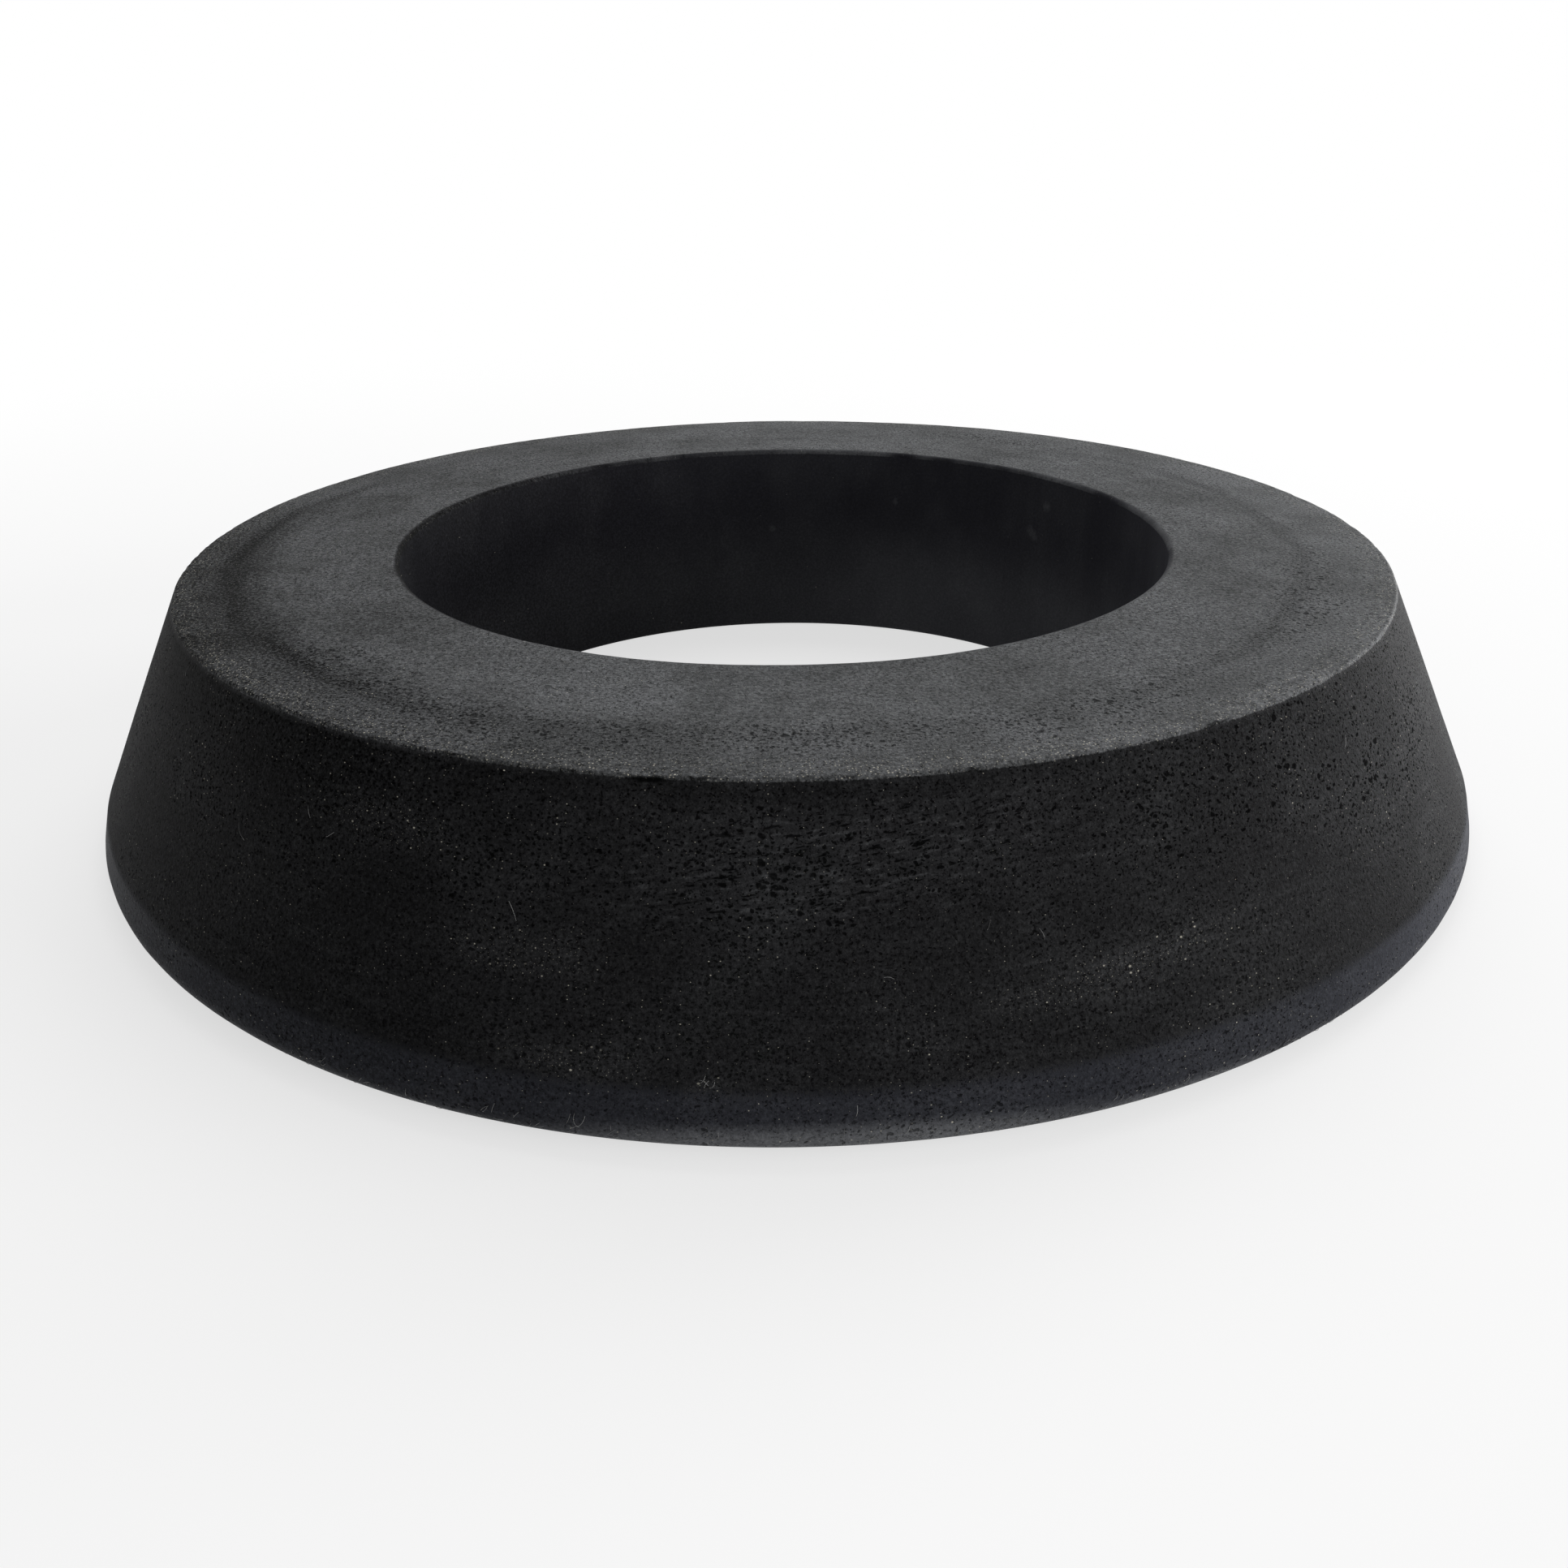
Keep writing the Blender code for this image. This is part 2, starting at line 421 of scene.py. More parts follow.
def kept_patterns(add, given, geometry):
    """Two slow patterns, stored on the points for the material: blotches, and the broken ring mark."""
    position = add(POSITION)
    blotches = add(NOISE, {"Vector": position, "Scale": 1 / 0.0065, "Detail": 4.0, "Roughness": 0.62})
    wander = add(NOISE, {"Vector": position, "Scale": 1 / 0.011, "Detail": 2.0})
    moved = add(VECTOR_MATH, [position, MARK_CENTRE], "SUBTRACT")
    place = add(SEPARATE, [moved])
    radius = distance_from_axis(add, moved)[1]
    bent = add(MATH, [wander, 0.0030, radius], "MULTIPLY_ADD")
    centred = add(MATH, [bent, 0.0015], "SUBTRACT")
    off = add(MATH, [centred, given["Mark Radius"]], "SUBTRACT")
    away = add(MATH, [off], "ABSOLUTE")
    half = add(MATH, [given["Mark Width"], 0.5], "MULTIPLY")
    sideways = add(MATH, [place.outputs["X"]], "ABSOLUTE")
    masks = smooth_masks(add, {
        "groove": (away, half, 0.0001), "broken": (blotches, 0.38, 0.56, 0.25),
        "sides": (sideways, 0.010, 0.030, 0.35), "ahead": (place.outputs["Y"], 0.030, 0.010, 0.1)})
    on_top = add(MAP_RANGE, {
        "Value": place.outputs["Z"], "From Min": RING_HEIGHT - 0.0006, "From Max": RING_HEIGHT - 0.0003})
    mark = masks["groove"]
    for share in (masks["broken"], masks["sides"], masks["ahead"], on_top):
        mark = add(MATH, [mark, share], "MULTIPLY")
    for name, value in (("blotches", blotches), ("ring_mark", mark)):
        geometry = add("GeometryNodeStoreNamedAttribute", {
            "Geometry": geometry, "Name": name, "Value": value}, data_type="FLOAT", domain="POINT")
    return geometry


def uneven_skin(add, given, geometry):
    """Slow waves and small ripples, and the shallow groove of the ring mark."""
    position = add(POSITION)
    height = add(SEPARATE, [position]).outputs["Z"]
    lifted = add(MAP_RANGE, {"Value": height, "From Min": 0.0, "From Max": 0.001},
                 interpolation_type="SMOOTHSTEP")
    mark = add("GeometryNodeInputNamedAttribute", {"Name": "ring_mark"}, data_type="FLOAT")
    depth = add(MATH, [given["Mark Depth"], -1.0], "MULTIPLY")
    push = add(MATH, [mark, depth], "MULTIPLY")
    for label, detail, offset in (("Wave", 1.0, 0.3), ("Ripple", 2.0, 5.1)):
        scale = add(MATH, [1.0, given[label + " Length"]], "DIVIDE")
        enlarged = add(VECTOR_MATH, {0: position, "Scale": scale}, "SCALE")
        shifted = add(VECTOR_MATH, [enlarged, (offset, offset, offset)], "ADD")
        noise = add(NOISE, {"Vector": shifted, "Scale": 1.0, "Detail": detail})
        sunk = add(MATH, [noise, 0.72], "SUBTRACT")
        amount = add(MATH, [sunk, given[label + " Height"]], "MULTIPLY")
        push = add(MATH, [amount, lifted, push], "MULTIPLY_ADD")
    normal = add("GeometryNodeInputNormal")
    offset = add(VECTOR_MATH, {0: normal, "Scale": push}, "SCALE")
    return add("GeometryNodeSetPosition", {"Geometry": geometry, "Offset": offset})


def worn_corner(add, given, geometry):
    """The outer top corner, chipped in short stretches and torn open by one long nick."""
    position = add(POSITION)
    place = add(SEPARATE, [position])
    radius = distance_from_axis(add, position)[1]
    out = add(MATH, [radius, given["Corner Radius"]], "SUBTRACT")
    up = add(MATH, [place.outputs["Z"], given["Corner Height"]], "SUBTRACT")
    pair = add("ShaderNodeCombineXYZ", {"X": out, "Y": up})
    away = add(VECTOR_MATH, [pair], "LENGTH").outputs["Value"]
    near = add(MAP_RANGE, {"Value": away, "From Min": 0.0007, "From Max": 0.0002},
               interpolation_type="SMOOTHSTEP")
    noise = add(NOISE, {"Vector": position, "Scale": 1 / 0.0011, "Detail": 3.0})
    above = add(MAP_RANGE, {"Value": noise, "From Min": 0.47, "From Max": 0.75})
    ahead = add(MAP_RANGE, {
        "Value": place.outputs["Y"], "From Min": 0.020, "From Max": -0.010, "To Min": 0.25})
    chipped = add(MATH, [above, ahead], "MULTIPLY")
    chips = add(MATH, [chipped, given["Chip Depth"]], "MULTIPLY")

    # One nick, as far round from the front as in the photo
    aside = add(MATH, [angle_from_front(add, place), math.radians(NICK_ANGLE)], "SUBTRACT")
    distance = add(MATH, [aside], "ABSOLUTE")
    open_share = add(MAP_RANGE, {
        "Value": distance, "From Min": math.radians(NICK_SPAN / 2), "From Max": 0.0},
        interpolation_type="SMOOTHSTEP")
    torn = add(MATH, [open_share, given["Nick Depth"], chips], "MULTIPLY_ADD")
    inward = add(MATH, [torn, near], "MULTIPLY")
    back = add(MATH, [inward, -1.0], "MULTIPLY")
    normal = add("GeometryNodeInputNormal")
    push = add(VECTOR_MATH, {0: normal, "Scale": back}, "SCALE")
    return add("GeometryNodeSetPosition", {"Geometry": geometry, "Offset": push})


def skin_places(add):
    """Where a point lies on the skin: height, radius, and arc length against length up the section."""
    place = add("ShaderNodeTexCoord").outputs["Object"]
    parts = add(SEPARATE, [place])
    flat, radius = distance_from_axis(add, place)
    around = add(MATH, [angle_from_front(add, parts), MEAN_RADIUS], "MULTIPLY")
    along = add(MATH, [parts.outputs["Z"], radius], "SUBTRACT")
    skin = add("ShaderNodeCombineXYZ", {"X": around, "Y": along})
    noise = add(NOISE, {"Vector": place, "Scale": 1 / 0.00038, "Detail": 1.0})
    centred = add(VECTOR_MATH, [noise.outputs["Color"], (0.5, 0.5, 0.5)], "SUBTRACT")
    bend = add(VECTOR_MATH, {0: centred, "Scale": 0.00042}, "SCALE")
    ragged = add(VECTOR_MATH, [skin, bend], "ADD")
    return {"place": place, "x": parts.outputs["X"], "y": parts.outputs["Y"], "height": parts.outputs["Z"],
            "radius": radius, "flat": flat, "along": along, "skin": skin, "ragged": ragged}


def distance_from_axis(add, position):
    """A position with its height left out, and how far it is from the axis."""
    flat = add(VECTOR_MATH, [position, (1.0, 1.0, 0.0)], "MULTIPLY")
    return flat, add(VECTOR_MATH, [flat], "LENGTH").outputs["Value"]


def angle_from_front(add, parts):
    """The angle round the ring, from the front towards the right."""
    forward = add(MATH, [parts.outputs["Y"], -1.0], "MULTIPLY")
    return add(MATH, [parts.outputs["X"], forward], "ARCTAN2")


def smooth_masks(add, readings):
    """For each name, a mask that goes smoothly from 0, or a given least, at one reading to 1 at another."""
    masks = {}
    for name, (value, least_at, one_at, *least) in readings.items():
        masks[name] = add(MAP_RANGE, {
            "Value": value, "From Min": least_at, "From Max": one_at, "To Min": sum(least)},
            interpolation_type="SMOOTHSTEP")
    return masks


def patches(add, skin, ovals):
    """Soft ovals on the skin, as one mask."""
    most = 0.0
    for angle, height, radius, half_length, half_width, tilt in ovals:
        middle = (math.radians(angle) * MEAN_RADIUS, height - radius, 0.0)
        oval = add("ShaderNodeMapping", {
            "Vector": skin, "Location": middle, "Rotation": (0.0, 0.0, math.radians(tilt)),
            "Scale": (half_length, half_width, 1.0)}, vector_type="TEXTURE")
        away = add(VECTOR_MATH, [oval], "LENGTH").outputs["Value"]
        inside = add(MAP_RANGE, {"Value": away, "From Min": 1.0, "From Max": 0.3},
                     interpolation_type="SMOOTHSTEP")
        most = add(MATH, [inside, most], "MAXIMUM")
    return most


def overlaps(add, masks, pairs):
    """Store each named mask as the overlap, or product, of two masks that are there already."""
    for name, first, second in pairs:
        masks[name] = add(MATH, [masks[first], masks[second]], "MULTIPLY")


def weighed(add, start, parts):
    """A start value, and each mask times its amount on top of it."""
    for mask, amount in parts:
        start = add(MATH, [mask, amount, start], "MULTIPLY_ADD")
    return start


def dots(add, skin, cell, stretch, reach, rarity, share):
    """Dots of random size, at most one in each cell of the skin: a mask, and the luck of each cell."""
    cells = add("ShaderNodeMapping", {"Vector": skin, "Scale": (cell * stretch, cell, 1.0)},
                vector_type="TEXTURE")
    voronoi = add("ShaderNodeTexVoronoi", {"Vector": cells, "Scale": 1.0, "Randomness": 1.0},
                  voronoi_dimensions="2D", feature="F1")
    luck = add(SEPARATE, [voronoi.outputs["Color"]])
    rare = add(MATH, [luck, rarity], "POWER")
    size = add(MATH, [rare, reach], "MULTIPLY")
    given = add(MATH, [share, 0.0], "MAXIMUM")
    kept = add(MATH, [size, given], "MULTIPLY")
    core = add(MATH, [kept, 0.45], "MULTIPLY")
    mask = add(MAP_RANGE, {"Value": voronoi.outputs["Distance"], "From Min": kept, "From Max": core},
               interpolation_type="SMOOTHSTEP")
    return mask.outputs[0], luck.outputs[1]


def moulded_rubber(colours, section):
    """Moulded carbon-black rubber: matte black cone, grey top face, rubbed and partly a painted sheen,
    smoother band and bore.
    """
    material = bpy.data.materials.new("moulded_black_rubber")
    material.use_nodes = True
    tree = material.node_tree
    add = partial(add_node, tree)
    shader = tree.nodes["Principled BSDF"]
    places = skin_places(add)
    place, skin, ragged = places["place"], places["skin"], places["ragged"]
    height, radius = places["height"], places["radius"]
    corner = section.bore_radius + section.top_width
    mark_radius = corner - section.border_width
    kept = ("blotches", "ring_mark", "torn_skin", "pore_clusters", "dusty_patches", "pale_foot")
    blotches, mark, torn, cluster, dusty, pale_foot = (
        add("ShaderNodeAttribute", attribute_name=name).outputs["Fac"] for name in kept)

    # Streaks that run round the ring, slanted ridges of torn skin, and fine grain
    sway = add(VECTOR_MATH, {0: places["flat"], "Scale": 1 / SWAY_LENGTH}, "SCALE")
    steep = add(MATH, [places["along"], 1 / STREAK_STEP], "MULTIPLY")
    rise = add("ShaderNodeCombineXYZ", {"Z": steep})
    swept = add(VECTOR_MATH, [sway, rise], "ADD")
    streaks = add(NOISE, {"Vector": swept, "Scale": 1.0, "Detail": 2.0, "Roughness": 0.6})
    slanted = add("ShaderNodeMapping", {
        "Vector": skin, "Rotation": (0.0, 0.0, RIDGE_TILT), "Scale": RIDGE_SIZE}, vector_type="TEXTURE")
    ridges = add(NOISE, {"Vector": slanted, "Scale": 1.0, "Detail": 2.0}, noise_dimensions="2D")
    grain = add(NOISE, {"Vector": place, "Scale": 1 / GRAIN_SIZE, "Detail": 2.0, "Roughness": 0.85})

    uneven = add(MATH, [grain, 0.5], "SUBTRACT")
    edge = add(MATH, [uneven, 0.00010, height], "MULTIPLY_ADD")
    blurred = add(MATH, [uneven, 0.0014, height], "MULTIPLY_ADD")
    aside = add(MATH, [places["x"]], "ABSOLUTE")
    masks = smooth_masks(add, {
        "top": (edge, RING_HEIGHT - 0.00040, RING_HEIGHT - 0.00032),
        "outside": (radius, section.bore_radius + 0.0002, section.bore_radius + 0.0005),
        "low": (blurred, section.band_height + 0.0004, section.band_height - 0.0002),
        # Painted shade: the cone darker high up on its sides
        "upper": (height, 0.0105, 0.0150),
        "lower": (height, 0.0105, 0.0075),
        # Painted shade: a dark line just under the top corner
        "shade_under_rim": (height, RING_HEIGHT - 0.0012, RING_HEIGHT - 0.0005),
        "aside": (aside, 0.008, 0.024),
        # Painted light: the front of the top face lighter
        "ahead": (places["y"], -0.020, -0.034),
        "under_top": (height, RING_HEIGHT - 0.0004, RING_HEIGHT - 0.0007),
        "rim": (radius, corner - 0.0030, corner - 0.0005),
        "border": (radius, mark_radius - 0.0014, mark_radius + 0.0010),
        "front": (places["y"], 0.018, -0.004),
        "blotchy": (blotches, 0.38, 0.68),
        "pale_streaks": (streaks, 0.50, 0.85),
        "dark_streaks": (streaks, 0.50, 0.25),
        "pale_ridges": (ridges, 0.52, 0.80),
        "dark_ridges": (ridges, 0.45, 0.22),
        "rips": (ridges, 0.345, 0.26),
        "eaten": (grain, 0.40, 0.31),
        "pale_grain": (grain, 0.50, 0.66),
        "dark_grain": (grain, 0.50, 0.34),
        # Painted light: the bore lighter low down
        "low_bore_light": (height, 0.0120, 0.0030),
        # Painted shade: the left side darker
        "left": (places["x"], -0.004, -0.026),
        # Painted light: the right side lighter
        "right": (places["x"], 0.024, 0.043),
        "middle": (places["x"], 0.022, 0.013),
        "patchy": (blotches, 0.36, 0.62),
        "dim": (blotches, 0.52, 0.32),
    })
    masks["inside"] = add(MATH, [1.0, masks["outside"]], "SUBTRACT")
    masks["torn"] = torn
    overlaps(add, masks, (
        ("band", "low", "outside"), ("side", "under_top", "outside"), ("rim", "rim", "top"),
        ("border", "border", "top"), ("border", "border", "front"), ("upper", "upper", "side"),
        ("upper", "upper", "aside"), ("shade_under_rim", "shade_under_rim", "side"), ("ahead", "ahead", "top"),
        ("lower", "lower", "side"), ("cone_shade_left", "left", "side"), ("upper_shade_left", "upper", "left"),
        ("band_light_right", "right", "band"), ("dim", "dim", "top"), ("left", "left", "top"),
        ("torn_side", "side", "torn"), ("ripped", "torn_side", "middle"), ("rips", "ripped", "rips"),
        ("torn_ridges", "ripped", "pale_ridges"), ("dark_ridges", "ripped", "dark_ridges"),
        ("low_bore_light", "low_bore_light", "inside"), ("dark_streaks", "dark_streaks", "outside"),
        ("pale_streaks", "pale_streaks", "outside")))
    top, band, side, inside = masks["top"], masks["band"], masks["side"], masks["inside"]

    # Open pores, crowded where the skin is torn
    on_side = weighed(add, 0.28, [(masks["patchy"], 0.5), (torn, 0.5)])
    on_top = weighed(add, 0.18, [(masks["patchy"], 0.25), (cluster, 1.0)])
    pore_share = weighed(add, 0.0, [(side, on_side), (top, on_top)])
    eaten_share = weighed(add, 0.0, [(pore_share, 0.8)])
    eaten = weighed(add, 0.0, [(masks["eaten"], eaten_share)])
    pinhole_share = weighed(add, 0.35, [
        (side, 0.32), (masks["patchy"], 0.45), (cluster, 0.4), (torn, 0.2), (inside, -0.8), (band, -0.25)])
    pores = dots(add, ragged, PORE_CELL, 1.2, 0.42, 3.2, pore_share)[0]
    pinholes = dots(add, ragged, PINHOLE_CELL, 1.15, 0.38, 2.1, pinhole_share)[0]
    holes = patches(add, ragged, CORNER_TEARS)
    for mask in (pores, masks["rips"], pinholes, eaten):
        holes = add(MATH, [holes, mask], "MAXIMUM")

    # Dust pressed into the skin, thickest along the rim of the top face and on the foot
    spots = patches(add, ragged, BORE_SPOTS)
    flash_and_highlight = patches(add, ragged, CORNER_FLASH_AND_HIGHLIGHT)
    speck_share = weighed(add, 0.32, [
        (dusty, 0.5), (pale_foot, 0.2), (masks["blotchy"], 0.45), (inside, -0.5)])
    specks, speck_luck = dots(add, skin, SPECK_CELL, 1.0, 0.20, 3.2, speck_share)
    rim_share = add(MATH, [masks["rim"], streaks], "MULTIPLY")
    sparkle_share = weighed(add, 0.0, [(rim_share, 1.3), (top, 0.22), (dusty, 0.4), (pale_foot, 0.2)])
    sparkle, sparkle_luck = dots(add, skin, SPARKLE_CELL, 1.0, 0.36, 1.2, sparkle_share)
    pale_specks = add(MATH, [specks, speck_luck], "MULTIPLY")
    pale_sparkle = add(MATH, [sparkle, sparkle_luck], "MULTIPLY")
    dust = add(MATH, [pale_specks, pale_sparkle], "MAXIMUM")

    coarse = weighed(add, 0.35, [(masks["outside"], 0.65), (band, -0.35)])
    masks["coarse"] = coarse
    overlaps(add, masks, (("dark_grain", "coarse", "dark_grain"), ("pale_grain", "coarse", "pale_grain")))
    # Bloom over dust, spots, flash and torn ridges; along the front foot, low in the bore and on the corner
    # flash it is painted light
    bloom_and_light = weighed(add, 0.0, [
        (dusty, 0.06), (spots, 0.16), (flash_and_highlight, 0.45), (pale_foot, 0.70), (masks["low_bore_light"], 0.20),
        (masks["torn_ridges"], 0.22)])
    for mask, on_top_share, elsewhere in (("blotchy", 0.60, 0.08), ("pale_streaks", 0.22, 0.08)):
        amount = weighed(add, elsewhere, [(top, on_top_share)])
        bloom_and_light = weighed(add, bloom_and_light, [(masks[mask], amount)])
    colour = [*colours.cone, 1.0]
    for share, layer in ((top, colours.worn), (band, colours.band), (inside, colours.bore),
                         (bloom_and_light, colours.bloom)):
        colour = add("ShaderNodeMix", {0: share, 6: colour, 7: [*layer, 1.0]}, data_type="RGBA").outputs[2]

    # Painted shade and light, as the light falls: the border outside the ring mark is darker, and more so on
    # the left; the bore is lighter on the right
    border_shade_left = weighed(add, -0.14, [(places["x"], 9.0)])
    border_shade_left = add(MATH, [border_shade_left, 0.0], "MINIMUM")
    rightward = add(MATH, [places["x"], 0.0135], "MINIMUM")
    rightward = add(MATH, [rightward, inside], "MULTIPLY")
    masks.update(mark=mark, rightward=rightward, pale_foot=pale_foot)
    # Most of these changes are painted light and shade: the top and cone darker on the left, the cone darker
    # high on its sides and just under the rim, the right of the ring and band lighter, the front of the top
    # lighter, and the foot lighter as a painted reflection of the floor
    changes = {
        "mark": -0.36, "border": border_shade_left, "rightward": 27.0, "left": -0.24, "dim": -0.20, "ahead": 0.11,
        "upper": -0.22, "shade_under_rim": -0.22, "cone_shade_left": -0.32, "upper_shade_left": -0.14, "ripped": 0.33,
        "right": 0.26, "band_light_right": 0.25, "pale_foot": 0.55, "dark_streaks": -0.16, "dark_grain": -0.50,
        "pale_grain": 0.70, "dark_ridges": -0.35}
    shade = weighed(add, 1.0, [(masks[name], change) for name, change in changes.items()])
    shaded = add(VECTOR_MATH, {0: colour, "Scale": shade}, "SCALE")
    colour = add("ShaderNodeMix", {
        0: dust, 6: shaded, 7: [*colours.dust, 1.0]}, data_type="RGBA").outputs[2]

    # Heights in metres, all read by one bump
    masks.update(grain=grain, streaks=streaks, ridges=ridges)
    overlaps(add, masks, (("raised_ridges", "ripped", "ridges"), ("rough_grain", "grain", "coarse"),
                           ("raised_streaks", "streaks", "outside")))
    relief = weighed(add, 0.0, [
        (masks["rough_grain"], 0.000050), (masks["raised_streaks"], 0.00002),
        (masks["raised_ridges"], 0.00008), (holes, -0.00008)])
    bump = add("ShaderNodeBump", {"Height": relief, "Distance": 1.0, "Strength": 1.0})
    rough = weighed(add, 0.52, [(grain, 0.14), (band, -0.12)])

    tree.links.new(colour, shader.inputs["Base Color"])
    tree.links.new(rough.outputs[0], shader.inputs["Roughness"])
    tree.links.new(bump.outputs[0], shader.inputs["Normal"])
    shader.inputs["Metallic"].default_value = 0.0
    shader.inputs["IOR"].default_value = 1.5
    shader.inputs["Specular IOR Level"].default_value = 0.018

    # A pore's inside is painted plain black without gloss, a painted shade for the light it swallows; low
    # down and on top it holds dust
    pore_shade = add("ShaderNodeBsdfDiffuse", {"Color": [*colours.pore, 1.0]})
    darkness = weighed(add, 0.82, [(top, -0.20), (masks["lower"], -0.25)])
    hidden = add(MATH, [holes, darkness], "MULTIPLY")
    surface = add("ShaderNodeMixShader", [hidden, shader, pore_shade])
    output = next(node for node in tree.nodes if node.type == "OUTPUT_MATERIAL")
    tree.links.new(surface.outputs[0], output.inputs["Surface"])
    return material


# Mineral dust shows as dull pale grains, and lint as thin grey threads
def loose_material(name, tint, cell, roughness):
    """Dull stuff lying on the ring, each fleck or stretch a little lighter or darker than the next."""
    material = bpy.data.materials.new(name)
    material.use_nodes = True
    tree = material.node_tree
    add = partial(add_node, tree)
    shader = tree.nodes["Principled BSDF"]
    place = add("ShaderNodeTexCoord").outputs["Object"]
    cells = add("ShaderNodeTexVoronoi", {"Vector": place, "Scale": 1 / cell})
    luck = add(SEPARATE, [cells.outputs["Color"]])
    shade = add(MATH, [luck, 0.85, 0.2], "MULTIPLY_ADD")
    shaded = add(VECTOR_MATH, {0: tint, "Scale": shade}, "SCALE")
    noise = add(NOISE, {"Vector": place, "Scale": 4 / cell, "Detail": 1.0})
    bump = add("ShaderNodeBump", {"Height": noise, "Distance": 0.00001})
    tree.links.new(shaded.outputs[0], shader.inputs["Base Color"])
    tree.links.new(bump.outputs[0], shader.inputs["Normal"])
    shader.inputs["Roughness"].default_value = roughness
    shader.inputs["Specular IOR Level"].default_value = 0.2
    return material


def dust_tree():
    """Geometry nodes that scatter small flattened flecks over the ring's skin."""
    tree, add, given = new_node_group("Dust flecks", {
        "Geometry": ["Skin"], "Material": ["Dust"], "Int": ["Seed"],
        "Float": ["Spread", "On Corner", "On Foot", "Corner Radius", "Smallest", "Largest"]})
    position = add(POSITION)
    parts = add(SEPARATE, [position])
    height = parts.outputs["Z"]
    radius = distance_from_axis(add, position)[1]
    clumps = add(NOISE, {"Vector": position, "Scale": 1 / 0.003, "Detail": 2.0})
    inner = add(MATH, [given["Corner Radius"], 0.0028], "SUBTRACT")
    outer = add(MATH, [given["Corner Radius"], 0.0003], "SUBTRACT")
    masks = smooth_masks(add, {
        "rim": (radius, inner, outer), "high": (height, RING_HEIGHT - 0.0007, RING_HEIGHT - 0.0004),
        "foot": (height, 0.0019, 0.0007), "wide": (radius, 0.0455, 0.0465), "clumps": (clumps, 0.40, 0.70),
        "seen": (height, 0.0002, 0.0004), "front": (parts.outputs["Y"], -0.016, -0.040)})
    on_corner = add(MATH, [masks["rim"], masks["high"]], "MULTIPLY")
    on_corner = add(MATH, [on_corner, masks["front"]], "MULTIPLY")
    on_foot = add(MATH, [masks["foot"], masks["wide"]], "MULTIPLY")
    density = weighed(add, given["Spread"], [(on_corner, given["On Corner"]), (on_foot, given["On Foot"])])
    clumped = add(MATH, [masks["clumps"], 0.85, 0.15], "MULTIPLY_ADD")
    for share in (clumped, masks["seen"]):
        density = add(MATH, [density, share], "MULTIPLY")
    scattered = add("GeometryNodeDistributePointsOnFaces", {
        "Mesh": given["Skin"], "Density": density, "Seed": given["Seed"]}, distribute_method="RANDOM")
    luck = add("FunctionNodeRandomValue", {"Seed": given["Seed"]}, data_type="FLOAT")
    rare = add(MATH, [luck.outputs["Value"], 2.5], "POWER")
    size = add(MAP_RANGE, {"Value": rare, "To Min": given["Smallest"], "To Max": given["Largest"]})
    shape = add("FunctionNodeRandomValue", {0: (0.6, 0.5, 0.4), 1: (1.5, 1.0, 0.8), "Seed": given["Seed"]},
                data_type="FLOAT_VECTOR")
    lumpy = add(VECTOR_MATH, {0: shape.outputs["Value"], "Scale": size}, "SCALE")
    fleck = add("GeometryNodeMeshIcoSphere", {"Radius": 1.0, "Subdivisions": 1})
    placed = add("GeometryNodeInstanceOnPoints", {
        "Points": scattered.outputs["Points"], "Instance": fleck.outputs["Mesh"],
        "Rotation": scattered.outputs["Rotation"], "Scale": lumpy})
    real = add("GeometryNodeRealizeInstances", {"Geometry": placed})
    dusted = add("GeometryNodeSetMaterial",
                 {"Geometry": held_inside(add, real), "Material": given["Dust"]})
    add("NodeGroupOutput", {"Geometry": dusted})
    return tree


def fibre_tree():
    """Geometry nodes that give each line of points the round body of a fibre."""
    tree, add, given = new_node_group("Loose fibres", {
        "Geometry": ["Lines"], "Material": ["Fibre"], "Int": ["Sides"], "Float": ["Fibre Radius"]})
    curves = add("GeometryNodeMeshToCurve", {"Mesh": given["Lines"]})
    ring = add("GeometryNodeCurvePrimitiveCircle", {
        "Resolution": given["Sides"], "Radius": given["Fibre Radius"]})
    body = add("GeometryNodeCurveToMesh", {
        "Curve": curves, "Profile Curve": ring.outputs["Curve"], "Fill Caps": True})
    smooth = add("GeometryNodeSetShadeSmooth", {"Geometry": held_inside(add, body)})
    real = add("GeometryNodeRealizeInstances", {"Geometry": smooth})
    finished = add("GeometryNodeSetMaterial", {"Geometry": real, "Material": given["Fibre"]})
    add("NodeGroupOutput", {"Geometry": finished})
    return tree


def store_ovals(mesh, name, ovals):
    """Soft ovals on the skin, stored on the mesh's points as one mask that the material reads."""
    flat = numpy.empty(len(mesh.vertices) * 3, dtype=numpy.float32)
    mesh.vertices.foreach_get("co", flat)
    x, y, z = flat.reshape(-1, 3).T
    turn = numpy.arctan2(x, -y)
    along = z - numpy.hypot(x, y)
    most = numpy.zeros(len(x), dtype=numpy.float32)
    for angle, height, radius, half_length, half_width, tilt in ovals:
        aside = numpy.remainder(turn - math.radians(angle) + math.pi, math.tau) - math.pi
        around = aside * MEAN_RADIUS
        up = along - (height - radius)
        slope = math.radians(tilt)
        across = (around * math.cos(slope) + up * math.sin(slope)) / half_length
        over = (up * math.cos(slope) - around * math.sin(slope)) / half_width
        share = numpy.clip((1.0 - numpy.hypot(across, over)) / 0.7, 0.0, 1.0)
        most = numpy.maximum(most, share * share * (3.0 - 2.0 * share))
    mesh.attributes.new(name, "FLOAT", "POINT").data.foreach_set("value", most.astype(numpy.float32))


